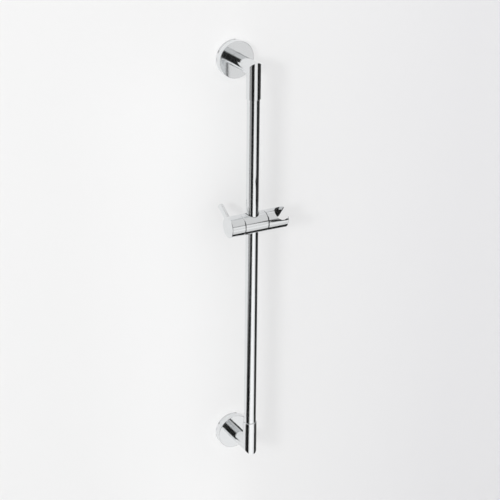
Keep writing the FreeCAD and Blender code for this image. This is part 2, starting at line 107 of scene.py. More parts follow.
# Places on the wall where its pool of painted light changes, each with half the width of the change
PAINTED_POOL_LEFT = (-0.20, 0.12)
PAINTED_POOL_RIGHT = (0.02, 0.06)
PAINTED_POOL_TOP = (0.66, 0.10)
# Half the widths of the edges of the dark reflection that is painted on the wall for the chrome
DARK_REFLECTION_RIGHT_SOFT = 0.02
DARK_REFLECTION_TOP_SOFT = 0.03
DARK_REFLECTION_BOTTOM_SOFT = 0.015

# The dark card: how far it reaches past the holder's ends, the heights of its corners there above the
# slider's axis, and the tip of its tongue on the left, across from the tube and up
CARD_PAST_LEFT = 0.3 * MM
CARD_PAST_RIGHT = 3 * MM
CARD_LEFT_HEIGHTS = (-14 * MM, 13 * MM, 33 * MM)
CARD_RIGHT_HEIGHTS = (-39 * MM, -9 * MM)
CARD_TIP = (-16 * MM, 24 * MM)

# The room that the chrome shows, in degrees of bearing and of height. A level or upright edge is its
# place and half the width of its change. A slanted edge is runs of two heights and a bearing at each,
# which add up.
CAMERA_SCREEN_LEFT = ((-23.8, -25.7, -147, -168), (-25.7, -29.7, 0, -24), (-16, -10, 0, -23))
CAMERA_SCREEN_RIGHT = ((-20, -28.5, -103, -118.5), (-28.5, -31.5, 0, -19.5))
CAMERA_SCREEN_TOP = (32, 3)
SIDE_SCREEN_LEFT = ((-18.3, -30.8, -54, -41), (-18, -12, 0, -3), (8, 20, 0, 3))
SIDE_SCREEN_HEIGHTS = ((-36, 3), (22, 3))
SIDE_SCREEN_PALER = (-8, 8)
BEHIND_WALL = ((20, 8), (150, 8))
FAR_LEFT = (-145, 6)
FAR_LEFT_TOP = (-6, 8)
NEAR_RIGHT = (-67, 5)
NEAR_RIGHT_TOP = (-8, 4)
PANEL_HEIGHTS = ((-35, 2), (-20, 3))
LINTEL_HEIGHTS = ((8, 1), (16, 1))
CEILING = (17, 2)
GROUND = (-57.5, 1.2)
SOFT_SLANT = 1.5
CRISP_SLANT = 0.8


def length(name, description, default):
    return FloatProperty(name=name, description=description, default=default, min=0, unit="LENGTH",
                         precision=5)


def angle(name, description, default):
    return FloatProperty(name=name, description=description, default=math.radians(default), unit="ROTATION")


def share(name, description, default):
    return FloatProperty(name=name, description=description, default=default, min=0, max=1, subtype="FACTOR")


def colour(name, description, default):
    return FloatVectorProperty(name=name, description=description, default=default, min=0, max=1,
                               size=3, subtype="COLOR")


def spot(name, description, default):
    return FloatVectorProperty(name=name, description=description, default=default, size=3,
                               subtype="TRANSLATION")


class SlideRailSizes(PropertyGroup):
    """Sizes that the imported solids' boxes don't give."""
    segments: IntProperty(name="Segments", description="Facets round a turned piece", default=256, min=32)
    edge: length("Edge", "Rounding of a polished edge", 0.15 * MM)
    tube_wall: length("Tube wall", "Wall of the rail tube", 1.2 * MM)
    socket_radius: length("Socket radius", "Bore of a sleeve", TUBE_RADIUS + 0.05 * MM)
    socket_floor: length("Socket floor", "Floor of a sleeve's bore above the arm's axis", 17 * MM)
    sleeve_chamfer: length("Sleeve chamfer", "Chamfer on a sleeve's end", 0.3 * MM)
    spigot_bore: length("Spigot bore", "Radius of the bore in the arm", 7.05 * MM)
    spigot_floor: length("Spigot floor", "Distance from the wall to the bore's floor", 26.1 * MM)
    groove_radius: length("Groove radius", "Floor of the seal's groove in the arm", 10.35 * MM)
    groove_place: length("Groove place", "Distance from the wall to the groove's middle", 10 * MM)
    groove_width: length("Groove width", "Width of the seal's groove", 1.1 * MM)
    grub_radius: length("Grub radius", "Radius of the set screw's hole", 2.55 * MM)
    grub_place: length("Grub place", "Distance from the wall to the set screw", 20 * MM)
    cover_wall: length("Cover wall", "Wall of the flange cover", 1.2 * MM)
    cover_round: length("Cover rounding", "Rounding of the cover's front edge", 0.5 * MM)
    collar_radius: length("Collar radius", "Bore of the cover's collar", ELBOW_RADIUS + 0.1 * MM)
    collar_length: length("Collar length", "Length of the collar turned in round the arm", 5.5 * MM)
    joint_chamfer: length("Joint chamfer", "Chamfer beside the slider's joints", 0.7 * MM)
    bush_bore: length("Bush bore", "Radius of the slider's bore for its bush", 12.05 * MM)
    bush_half: length("Bush half", "Half the height of the bush", 8.2 * MM)
    play: length("Play", "End play of the bush and its ring", 0.1 * MM)
    ring_groove: length("Ring groove", "Radius of the snap ring's groove", 12.75 * MM)
    ring_height: length("Ring height", "Height of the snap ring", 1.0 * MM)
    lip_radius: length("Lip radius", "Hole in the top of the slider", TUBE_RADIUS + 0.8 * MM)
    boss_radius: length("Boss radius", "Radius of the pivot boss", 7 * MM)
    boss_length: length("Boss length", "Length of the pivot boss", 3 * MM)
    clamp_bore: length("Clamp bore", "Radius of the clamp screw's hole", 5.05 * MM)
    pad_bore: length("Pad bore", "Radius of the brake pad's hole", 4.2 * MM)
    pad_back: length("Pad back", "Distance from the tube's axis to the clamp screw's hole", 15.3 * MM)
    pivot_bore: length("Pivot bore", "Radius of the pivot screw's hole", 3.05 * MM)
    pivot_tip: length("Pivot tip", "From the tube's axis to the end of the pivot screw's hole", 13.25 * MM)
    knob_chamfer: length("Knob chamfer", "Chamfer on the knob's end", 0.5 * MM)
    knob_wall: length("Knob wall", "Wall at the knob's end", 2.2 * MM)
    lever_lean: angle("Lever lean", "How far the lever leans back to the wall", 60)
    lever_radius: length("Lever radius", "Radius of the lever rod", 4.55 * MM)
    lever_tail: length("Lever tail", "Radius of the lever's threaded tail", 3.0 * MM)
    lever_length: length("Lever length", "How far the lever stands out of the knob", 27.6 * MM)
    lever_seat: length("Lever seat", "Depth of the lever's seat in the knob", 0.9 * MM)
    lever_chamfer: length("Lever chamfer", "Chamfer on the lever's tip", 0.6 * MM)
    lever_start: length("Lever start", "Distance from the slider's axis to the lever's inner end", 5.05 * MM)
    fit: length("Fit", "Clearance round the lever", 0.05 * MM)
    holder_chamfer: length("Holder chamfer", "Chamfer on the holder's open end", 0.6 * MM)
    seat_top: length("Seat mouth", "Radius of the conical seat at its mouth", 12.3 * MM)
    seat_bottom: length("Seat foot", "Radius of the conical seat at its foot", 9.8 * MM)
    hose_slot: length("Hose slot", "Width of the slot that lets the hose in", 18 * MM)
    pivot_recess: length("Pivot recess", "Radius of the holder's recess for the boss", 7.05 * MM)
    recess_end: length("Recess end", "Distance from the tube's axis to the recess's floor", 24.1 * MM)
    pivot_floor: length("Pivot floor", "Distance from the tube's axis to the screw head's seat", 30.4 * MM)
    head_bore: length("Head bore", "Radius of the hole for the pivot screw's head", 5.9 * MM)


class SlideRailFinishes(PropertyGroup):
    """Colours and gloss of the finishes."""
    chrome: colour("Chrome", "Colour of the chrome plate", (0.80, 0.81, 0.82))
    chrome_roughness: share("Chrome roughness", "Mean roughness of the chrome plate", 0.02)
    chrome_cloudiness: share("Chrome cloudiness", "How much of that roughness comes and goes", 0.8)
    brass: colour("Brass", "Colour of unplated brass", (0.72, 0.55, 0.26))
    brass_roughness: share("Brass roughness", "Roughness of the brass where it is clean", 0.24)
    ring_pitch: length("Ring pitch", "Pitch of the rings that the tool left on the brass", 0.35 * MM)
    steel: colour("Steel", "Colour of turned stainless steel", (0.56, 0.56, 0.56))
    steel_roughness: share("Steel roughness", "Roughness of the steel where it is clean", 0.26)
    acetal: colour("Acetal", "Colour of the glide bush and brake pad", (0.84, 0.84, 0.81))
    acetal_roughness: share("Acetal roughness", "Least roughness of the acetal", 0.38)
    nylon: colour("Nylon", "Colour of the holder's washer", (0.03, 0.03, 0.032))
    nylon_roughness: share("Nylon roughness", "Least roughness of the nylon", 0.45)
    rubber: colour("Rubber", "Colour of the seals", (0.022, 0.022, 0.023))
    rubber_roughness: share("Rubber roughness", "Least roughness of the rubber", 0.62)


class SlideRailRoom(PropertyGroup):
    """Brightness of the room that the chrome shows."""
    plain: share("Plain", "Brightness of the room's plain parts", 0.95)
    panel: share("Panel", "How much brighter the low panel is", 0.20)
    ceiling: share("Ceiling", "How much darker the ceiling is", 0.20)
    lintel: share("Lintel", "How much darker the lintel is", 0.55)
    far_left: share("Far left", "Share of its light that the low far left lacks", 0.60)
    near_right: share("Near right", "Share of its light that the room right of the camera lacks", 0.16)
    camera_screen: share("Camera screen", "Share of its light that the screen round the camera lacks", 0.99)
    side_screen: share("Side screen", "Share of its light that the screen on the right lacks", 0.985)
    side_paler: share("Side screen, paler", "How much less of it the screen's far end lacks", 0.10)
    ground: share("Ground", "Share of its light that the ground lacks", 0.985)


class SlideRailStudio(PropertyGroup):
    """Wall, floor, card, lamp and camera."""
    half_width: length("Half width", "How far the wall and floor reach to each side", 2.0)
    wall_height: length("Wall height", "Top of the wall above the lower bracket", 2.0)
    wall_gap: length("Wall gap", "Gap between the wall and the object's back", 0.3 * MM)
    # The wall goes from its left colour to a darker right colour: painted shade, where less light falls on
    # the right
    wall_left: colour("Wall, left", "Colour of the wall on the left", (0.845, 0.845, 0.845))
    wall_right_shaded: colour("Wall, right", "Colour of the wall on the right", (0.78, 0.778, 0.79))
    wall_shade_width: length("Wall fade", "How far to the right of the rail the wall's colour changes", 0.45)
    # Painted reflection: past these edges the chrome sees the wall painted in a dark colour, as if the dark
    # room began there
    dark_reflection_right: length("Wall, right end", "Where the chrome sees the wall end on the right", 0.12)
    dark_reflection_top: length("Wall, top end", "How high the wall's dark end reaches", 0.62)
    dark_reflection_bottom: length("Wall, bottom end", "How far down the chrome sees the wall", 0.105)
    # Painted light: paler paint round the covers' rims, to offset their soft contact shadow on the wall
    painted_light: share("Glow", "How much paler the wall is at a cover's rim", 0.16)
    painted_light_reach: length("Glow reach", "How far from the rim that falls off", 0.011)
    # Painted light: a pool of paler paint beside the rail, on the left
    pool: share("Pool", "How much paler the wall is beside the rail, on the left", 0.05)
    painted_dark_reflection: colour("Dark room", "Colour of what the chrome sees past the wall", (0.04, 0.04, 0.04))
    backdrop: share("Backdrop", "Brightness of the room behind the object", 0.9)
    card: colour("Card", "Colour of the dark card before the holder", (0.02, 0.02, 0.02))
    card_bearing: angle("Card bearing", "Which way the card stands from the holder", -62.0)
    card_distance: length("Card distance", "How far the card stands from the holder", 0.12)
    floor: colour("Floor", "Colour of the floor", (0.86, 0.86, 0.86))
    floor_drop: length("Floor drop", "Height of the lower bracket above the floor", 0.6)
    floor_front: length("Floor front", "How far the floor reaches out from the wall's plane", 2.6)
    room_light: share("Room light", "Even light from the whole room", 1.0)
    key_power: FloatProperty(name="Key power", description="Power of the lamp", default=30.0, unit="POWER")
    key_place: spot("Key place", "Where the lamp stands, in front on the left", (-3.3, -2.8, 1.8))
    key_size: length("Key size", "Width of the lamp", 0.6)
    azimuth: angle("Azimuth", "How far the camera stands to the left of the wall's normal", 29.12)
    elevation: angle("Elevation", "How far the camera looks down", 23.57)
    roll: angle("Roll", "Turn of the camera about its own axis", -0.60)
    distance: length("Distance", "From the camera to the point on the wall that it looks at", 2.4538)
    aim: spot("Aim", "Point on the wall that the camera looks at", (0.0334, 0.0, 0.3240))
    lens: FloatProperty(name="Lens", description="Focal length of the camera", default=108.55, unit="CAMERA")


class Number:
    """A shader socket that takes part in sums."""

    def __init__(self, graph, socket):
        self.graph = graph
        self.socket = socket

    def __add__(self, other):
        return self.graph.maths("ADD", self, other)

    def __radd__(self, other):
        return self.graph.maths("ADD", other, self)

    def __sub__(self, other):
        return self.graph.maths("SUBTRACT", self, other)

    def __rsub__(self, other):
        return self.graph.maths("SUBTRACT", other, self)

    def __mul__(self, other):
        return self.graph.maths("MULTIPLY", self, other)

    def __rmul__(self, other):
        return self.graph.maths("MULTIPLY", other, self)

    def __truediv__(self, other):
        return self.graph.maths("DIVIDE", self, other)

    def maximum(self, other):
        return self.graph.maths("MAXIMUM", self, other)

    def rise(self, at, soft):
        """Nought below a value and one above it, with a soft step between."""
        return self.graph.node("ShaderNodeMapRange", {"interpolation_type": "SMOOTHSTEP"},
                               {"Value": self, "From Min": at - soft, "From Max": at + soft})

    def fall(self, at, soft):
        """One below a value and nought above it, with a soft step between."""
        return 1 - self.rise(at, soft)

    def between(self, low, high):
        """One between two soft steps and nought outside them."""
        return self.rise(*low) * self.fall(*high)

    def ramp(self, start, stop, low=0.0, high=1.0):
        """An even change from low to high between two values, and level outside them."""
        values = {"Value": self, "From Min": start, "From Max": stop, "To Min": low, "To Max": high}
        return self.graph.node("ShaderNodeMapRange", {}, values)


class Graph:
    """Adds nodes to a node tree."""

    def __init__(self, tree):
        self.tree = tree
        tree.nodes.clear()

    def node(self, kind, settings=None, values=None, output=0):
        """Add a node, set it up, feed its sockets and return one of its outputs."""
        made = self.tree.nodes.new(kind)
        for name, setting in (settings or {}).items():
            setattr(made, name, setting)
        for name, given in (values or {}).items():
            if isinstance(given, Number):
                self.tree.links.new(given.socket, made.inputs[name])
            else:
                made.inputs[name].default_value = given
        return Number(self, made.outputs[output]) if made.outputs else made

    def maths(self, operation, *values):
        return self.node("ShaderNodeMath", {"operation": operation}, dict(enumerate(values)))

    def split(self, vector):
        """The three parts of a vector."""
        parts = self.node("ShaderNodeSeparateXYZ", {}, {0: vector}).socket.node
        return [Number(self, socket) for socket in parts.outputs]


def mixed(graph, factor, first, second):
    """A colour between two, as a factor goes from nought to one."""
    return graph.node("ShaderNodeMix", {"data_type": "RGBA"}, {0: factor, 6: first, 7: second}, 2)


def opaque(rgb):
    return (*rgb, 1.0)


def finish(name, build):
    """A surface material whose Principled BSDF takes the values that build returns."""
    material = bpy.data.materials.get(name)
    if material:
        return material
    material = bpy.data.materials.new(name)
    material.use_nodes = True
    graph = Graph(material.node_tree)
    place = graph.node("ShaderNodeTexCoord", output="Object")
    surface = graph.node("ShaderNodeBsdfPrincipled", {}, build(graph, place))
    graph.node("ShaderNodeOutputMaterial", {}, {"Surface": surface})
    return material


def noise(graph, place, scale, detail=2.0):
    return graph.node("ShaderNodeTexNoise", {}, {"Vector": place, "Scale": scale, "Detail": detail})


def bump(graph, height, strength, distance):
    return graph.node("ShaderNodeBump", {}, {"Strength": strength, "Distance": distance, "Height": height})


def tinted(graph, factor, rgb, dark, light):
    """A colour that goes between a darker and a lighter tint of itself."""
    tint = Vector(rgb)
    return mixed(graph, factor, opaque(tint * dark), opaque(tint * light))


def chrome(finishes):
    """Mirror chrome with the faint cloudiness of hand polishing."""
    def build(graph, place):
        cloud = noise(graph, place, scale=90.0)
        grain = noise(graph, place, scale=2600.0, detail=1.0)
        return {
            "Base Color": tinted(graph, cloud, finishes.chrome, dark=0.985, light=1.015),
            "Metallic": 1.0,
            "Roughness": finishes.chrome_roughness * (1 + finishes.chrome_cloudiness * (cloud - 0.5)),
            "Normal": bump(graph, grain, strength=0.004, distance=0.05 * MM),
        }
    return finish("polished_chrome", build)


def brass(finishes):
    """Turned brass: rings left by the tool, and a dull patch here and there."""
    def build(graph, place):
        across, _, up = graph.split(place)
        height = up - BRACKET_SPACING * up.rise(BRACKET_SPACING / 2, MM)
        radius = graph.maths("SQRT", across * across + height * height)
        rings = graph.maths("SINE", radius * (math.tau / finishes.ring_pitch))
        patch = noise(graph, place, scale=160.0, detail=4.0)
        return {
            "Base Color": tinted(graph, patch, finishes.brass, dark=0.82, light=1.08),
            "Metallic": 1.0,
            "Roughness": finishes.brass_roughness + 0.16 * patch + 0.03 * rings,
            "Normal": bump(graph, rings, strength=0.12, distance=0.03 * MM),
        }
    return finish("plain_brass", build)


def steel(finishes):
    """Stainless steel with a fine grain."""
    def build(graph, place):
        patch = noise(graph, place, scale=500.0, detail=3.0)
        grain = noise(graph, place, scale=6000.0, detail=1.0)
        return {
            "Base Color": tinted(graph, patch, finishes.steel, dark=0.9, light=1.08),
            "Metallic": 1.0,
            "Roughness": finishes.steel_roughness + 0.12 * patch,
            "Normal": bump(graph, grain, strength=0.08, distance=0.03 * MM),
        }
    return finish("steel_hardware", build)


def moulded(name, rgb, roughness, scale):
    """Moulded plastic or rubber: a fine matt skin with faint flow marks."""
    def build(graph, place):
        flow = noise(graph, place, scale, detail=3.0)
        skin = noise(graph, place, scale * SKIN_FINENESS, detail=1.0)
        return {
            "Base Color": tinted(graph, flow, rgb, dark=0.9, light=1.05),
            "Roughness": roughness + 0.12 * flow,
            "Normal": bump(graph, skin, strength=0.15, distance=0.03 * MM),
        }
    return finish(name, build)


def finishes_by_slot(finishes):
    return {
        "polished_chrome": chrome(finishes),
        "plain_brass": brass(finishes),
        "steel_hardware": steel(finishes),
        "white_acetal": moulded("white_acetal", finishes.acetal, finishes.acetal_roughness, scale=300.0),
        "dark_nylon": moulded("dark_nylon", finishes.nylon, finishes.nylon_roughness, scale=300.0),
        "black_rubber": moulded("black_rubber", finishes.rubber, finishes.rubber_roughness, scale=420.0),
    }


def slot_of(node):
    return next(row["material_slot"] for row in frame["record"]["subparts"] if row["node"] == node)


def body_of(node):
    return next(body for body, nodes in frame["record"]["behaviour"]["bodies"].items() if node in nodes)


def turning_tree():
    """Geometry nodes that sweep a half section round its axis."""
    name = "Turned piece"
    tree = bpy.data.node_groups.get(name)
    if tree:
        return tree
    tree = bpy.data.node_groups.new(name, "GeometryNodeTree")
    tree.interface.new_socket("Half section", in_out="INPUT", socket_type="NodeSocketGeometry")
    tree.interface.new_socket("Segments", in_out="INPUT", socket_type="NodeSocketInt")
    tree.interface.new_socket("Finish", in_out="INPUT", socket_type="NodeSocketMaterial")
    tree.interface.new_socket("Piece", in_out="OUTPUT", socket_type="NodeSocketGeometry")
    graph = Graph(tree)
    given = tree.nodes.new("NodeGroupInput")
    section, segments, material = (Number(graph, socket) for socket in given.outputs[:3])
    path = graph.node("GeometryNodeCurvePrimitiveCircle", {},
                      {"Resolution": segments, "Radius": SWEEP_RADIUS})
    swept = graph.node("GeometryNodeCurveToMesh", {}, {"Curve": path, "Profile Curve": section})
    merged = graph.node("GeometryNodeMergeByDistance", {}, {"Geometry": swept, "Distance": MERGE_DISTANCE})
    plain = graph.node("GeometryNodeRealizeInstances", {}, {"Geometry": merged})
    painted = graph.node("GeometryNodeSetMaterial", {}, {"Geometry": plain, "Material": material})
    graph.node("NodeGroupOutput", {}, {0: painted})
    return tree


def socket_key(tree, name):
    return next(item.identifier for item in tree.interface.items_tree
                if item.name == name and item.in_out == "INPUT")


def half_section(corners, closed):
    """Points of an outline that is given as corners, each of radius, place along the axis and rounding.

    A rounding becomes an arc, and the ends of an open outline stay where they are.
    """
    points = []
    for number, (radius, place, rounding) in enumerate(corners):
        here = Vector((radius, place))
        at_end = not closed and number in (0, len(corners) - 1)
        if at_end or not rounding:
            points.append(here)
            continue
        before = (Vector(corners[number - 1][:2]) - here).normalized()
        after = (Vector(corners[(number + 1) % len(corners)][:2]) - here).normalized()
        half = before.angle(after) / 2
        reach = rounding / math.tan(half)
        centre = here + (before + after).normalized() * (rounding / math.sin(half))
        start, stop = here + before * reach, here + after * reach
        points.append(start + before * SUPPORT)
        for step in range(ARC_STEPS + 1):
            spoke = (start - centre).slerp(stop - centre, step / ARC_STEPS)
            points.append(centre + spoke.normalized() * rounding)
        points.append(stop + after * SUPPORT)
    return points


def linked(name, data):
    piece = bpy.data.objects.new(name, data)
    bpy.context.scene.collection.objects.link(piece)
    return piece


def evaluated(piece):
    """A plain mesh of an object with its modifiers applied."""
    seen = piece.evaluated_get(bpy.context.evaluated_depsgraph_get())
    return bpy.data.meshes.new_from_object(seen)


def smoothed(mesh):
    """Close the mesh, point its faces outwards and shade it smooth up to its sharp edges."""
    shape = bmesh.new()
    shape.from_mesh(mesh)
    bmesh.ops.remove_doubles(shape, verts=shape.verts, dist=MERGE_DISTANCE)
    bmesh.ops.dissolve_degenerate(shape, edges=shape.edges, dist=MERGE_DISTANCE)
    bmesh.ops.recalc_face_normals(shape, faces=shape.faces)
    for face in shape.faces:
        face.smooth = True
    for edge in shape.edges:
        edge.smooth = len(edge.link_faces) == 2 and edge.calc_face_angle() < SHARP_ANGLE
    shape.to_mesh(mesh)
    shape.free()
    return mesh


def turned(name, corners, place, closed=False):
    """A piece made on the lathe: its half section swept round Z, then set in place."""
    scene = bpy.context.scene
    curve = bpy.data.curves.new(f"{name}_section", "CURVE")
    curve.dimensions = "3D"
    line = curve.splines.new("POLY")
    points = half_section(corners, closed)
    line.points.add(len(points) - 1)
    for point, (radius, along) in zip(line.points, points):
        point.co = (radius - SWEEP_RADIUS, -along, 0, 1)
    line.use_cyclic_u = closed
    drawing = linked(f"{name}_section", curve)
    tree = turning_tree()
    sweep = drawing.modifiers.new("Turned", "NODES")
    sweep.node_group = tree
    sweep[socket_key(tree, "Segments")] = scene.slide_rail_sizes.segments
    sweep[socket_key(tree, "Finish")] = chrome(scene.slide_rail_finishes)
    mesh = evaluated(drawing)
    bpy.data.objects.remove(drawing)
    bpy.data.curves.remove(curve)
    mesh.transform(place)
    mesh.name = name
    return linked(name, smoothed(mesh))


def barrel(left, right, left_chamfer, right_chamfer, edge):
    """Outline of one length of the slider, from its axis out, along and in to its right face."""
    return [(0.0, left, 0), (SLIDER_RADIUS - left_chamfer, left, edge),
            (SLIDER_RADIUS, left + left_chamfer, edge), (SLIDER_RADIUS, right - right_chamfer, edge),
            (SLIDER_RADIUS - right_chamfer, right, edge)]


def cutter(name, steps, place):
    """A stepped plug to cut with; each step is its radius, its start and its end along the axis."""
    corners = [(0.0, steps[0][1], 0)]
    for radius, start, end in steps:
        corners += [(radius, start, 0), (radius, end, 0)]
    corners.append((0.0, steps[-1][2], 0))
    return turned(name, corners, place)


def carved(piece, *tools):
    """Cut tools out of a piece and throw them away."""
    for tool in tools:
        cut = piece.modifiers.new("Cut", "BOOLEAN")
        cut.operation = "DIFFERENCE"
        cut.solver = "EXACT"
        cut.object = tool
    mesh = smoothed(evaluated(piece))
    piece.modifiers.clear()
    piece.data = mesh
    for tool in tools:
        bpy.data.objects.remove(tool)
    return piece


def painted(mesh, node):
    """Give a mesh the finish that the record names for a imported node."""
    slots = finishes_by_slot(bpy.context.scene.slide_rail_finishes)
    mesh.materials.clear()
    mesh.materials.append(slots[slot_of(node)])


def fitted(piece, node):
    """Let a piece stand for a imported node, on its body and in its finish."""
    painted(piece.data, node)
    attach(piece, body_of(node))
    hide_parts(node)
    slot_of(node)


def shade_nodes(*nodes):
    """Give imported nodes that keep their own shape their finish."""
    for node in nodes:
        painted(frame["nodes"][node].data, node)


class SLIDERAIL_OT_rail_tube(Operator):
    """Build the tube that the slider runs on"""
    bl_idname = "slide_rail.rail_tube"
    bl_label = "Rail Tube"

    def execute(self, context):
        sizes = context.scene.slide_rail_sizes
        inner = TUBE_RADIUS - sizes.tube_wall
        corners = [(TUBE_RADIUS, tube_low.z, sizes.edge), (TUBE_RADIUS, tube_high.z, sizes.edge),
                   (inner, tube_high.z, sizes.edge), (inner, tube_low.z, sizes.edge)]
        tube = turned("chrome_rail_tube", corners, Matrix.Translation((0, -STANDOFF, 0)), closed=True)
        fitted(tube, "rail_tube")
        return {"FINISHED"}


def elbow_stations(sizes):
    """Rings of the arm and of the sleeve, from the floor of the spigot bore to the floor of the socket.

    Each is its radius and its place along its leg, out from the wall or up from the arm's axis.
    """
    face, reach = -elbow_high.y, elbow_high.z
    edge, chamfer = sizes.edge, sizes.sleeve_chamfer
    bore, bore_floor = sizes.spigot_bore, sizes.spigot_floor
    socket, socket_floor = sizes.socket_radius, sizes.socket_floor
    groove = sizes.groove_radius
    groove_start = sizes.groove_place - sizes.groove_width / 2
    groove_end = sizes.groove_place + sizes.groove_width / 2
    arm = [(0.0, bore_floor), (bore, bore_floor), (bore, face + edge), (bore + edge, face),
           (ELBOW_RADIUS - edge, face), (ELBOW_RADIUS, face + edge), (ELBOW_RADIUS, groove_start),
           (groove, groove_start), (groove, groove_end), (ELBOW_RADIUS, groove_end)]
    sleeve = [(ELBOW_RADIUS, reach - chamfer), (ELBOW_RADIUS - chamfer, reach), (socket + edge, reach),
              (socket, reach - edge), (socket, socket_floor), (0.0, socket_floor)]
    return arm, sleeve


def elbow_ring(leg, radius, place, segments):
    """Corners of one ring of an elbow that points up; at the mitre the two legs meet in a slanted ring."""
    ring = []
    for step in range(segments):
        turn = math.tau * step / segments
        across, off = radius * math.cos(turn), radius * math.sin(turn)
        if leg == "arm":
            ring.append(Vector((across, -place, off)))
        elif leg == "mitre":
            ring.append(Vector((across, off - STANDOFF, off)))
        else:
            ring.append(Vector((across, off - STANDOFF, place)))
    return ring


def elbow_mesh(name, sizes, place):
    """Arm, mitre and sleeve as one closed skin."""
    arm, sleeve = elbow_stations(sizes)
    rings = [("arm", *station) for station in arm]
    rings += [("mitre", ELBOW_RADIUS, 0.0)]
    rings += [("sleeve", *station) for station in sleeve]
    shape = bmesh.new()
    skins = [[shape.verts.new(spot) for spot in elbow_ring(*ring, sizes.segments)] for ring in rings]
    for first, second in zip(skins, skins[1:]):
        for step in range(sizes.segments):
            after = (step + 1) % sizes.segments
            shape.faces.new((first[step], first[after], second[after], second[step]))
    mesh = bpy.data.meshes.new(name)
    shape.to_mesh(mesh)
    shape.free()
    mesh.transform(place)
    return smoothed(mesh)


class SLIDERAIL_OT_elbows(Operator):
    """Build the two mitred elbows that carry the tube"""
    bl_idname = "slide_rail.elbows"
    bl_label = "Elbows"

    def execute(self, context):
        sizes = context.scene.slide_rail_sizes
        over = Matrix.Translation((0, 0, BRACKET_SPACING)) @ Matrix.Rotation(math.pi, 4, "Y")
        for end, place, height in (("lower", Matrix.Identity(4), 0.0), ("upper", over, BRACKET_SPACING)):
            name = f"chrome_{end}_elbow"
            elbow = linked(name, elbow_mesh(name, sizes, place))
            bottom, top = height - ELBOW_RADIUS - PAST, height - sizes.spigot_bore + PAST
            hole = cutter(f"{end}_grub_hole", [(sizes.grub_radius, bottom, top)],
                          Matrix.Translation((0, -sizes.grub_place, 0)))
            fitted(carved(elbow, hole), f"{end}_elbow")
        return {"FINISHED"}


class SLIDERAIL_OT_flange_covers(Operator):
    """Build the two covers that hide the wall plates"""
    bl_idname = "slide_rail.flange_covers"
    bl_label = "Flange Covers"

    def execute(self, context):
        sizes = context.scene.slide_rail_sizes
        depth, wall, edge = -cover_low.y, sizes.cover_wall, sizes.edge
        collar, collar_end = sizes.collar_radius, depth - sizes.collar_length
        corners = [(COVER_RADIUS, 0.0, edge), (COVER_RADIUS, depth, sizes.cover_round),
                   (collar, depth, edge), (collar, collar_end, edge),
                   (collar + wall, collar_end, edge), (collar + wall, depth - wall, edge),
                   (COVER_RADIUS - wall, depth - wall, edge), (COVER_RADIUS - wall, 0.0, edge)]
        for end, height in zip(ENDS, (0.0, BRACKET_SPACING)):
            place = Matrix.Translation((0, 0, height)) @ OUT_OF_WALL
            fitted(turned(f"chrome_{end}_flange_cover", corners, place, closed=True), f"{end}_flange_cover")
        return {"FINISHED"}


class SLIDERAIL_OT_wall_fixings(Operator):
    """Finish the wall plates, set screws and seals in the brackets"""
    bl_idname = "slide_rail.wall_fixings"
    bl_label = "Wall Fixings"

    def execute(self, context):
        kinds = ("wall_plate", "arm_grub_screw", "cover_o_ring", "rail_end_ring")
        shade_nodes(*(f"{end}_{kind}" for end in ENDS for kind in kinds))
        return {"FINISHED"}


class SLIDERAIL_OT_slider_body(Operator):
    """Build the middle of the slider"""
    bl_idname = "slide_rail.slider_body"
    bl_label = "Slider Body"

    def execute(self, context):
        sizes = context.scene.slide_rail_sizes
        left, boss_end = slider_low.x, slider_high.x
        right, chamfer, edge = boss_end - sizes.boss_length, sizes.joint_chamfer, sizes.edge
        corners = barrel(left, right, chamfer, chamfer, edge)
        corners += [(sizes.boss_radius, right, 0), (sizes.boss_radius, boss_end, edge), (0.0, boss_end, 0)]
        body = turned("chrome_slider_body", corners, ON_SLIDER)
        reach, half, play = SLIDER_RADIUS + PAST, sizes.bush_half, sizes.play
        groove_floor = -half - sizes.ring_height - play
        bore = cutter("slider_bore", [
            (sizes.bush_bore, -reach, groove_floor), (sizes.ring_groove, groove_floor, -half),
            (sizes.bush_bore, -half, half + play), (sizes.lip_radius, half + play, reach)],
            Matrix.Translation(SLIDER_CENTRE))
        clamp = cutter("slider_clamp_hole", [
            (sizes.clamp_bore, left - PAST, -sizes.pad_back),
            (sizes.pad_bore, -sizes.pad_back, -TUBE_RADIUS)], ON_SLIDER)
        pivot = cutter("slider_pivot_hole", [(sizes.pivot_bore, sizes.pivot_tip, boss_end + PAST)], ON_SLIDER)
        fitted(carved(body, bore, clamp, pivot), "slider_body")
        return {"FINISHED"}


class SLIDERAIL_OT_slider_inside(Operator):
    """Finish the bush, snap ring, clamp and pivot inside the slider"""
    bl_idname = "slide_rail.slider_inside"
    bl_label = "Slider Inside"

    def execute(self, context):
        shade_nodes("glide_bush", "bush_snap_ring", "brake_pad", "clamp_screw", "holder_washer",
                    "pivot_screw", "pivot_spring_washer")
        return {"FINISHED"}


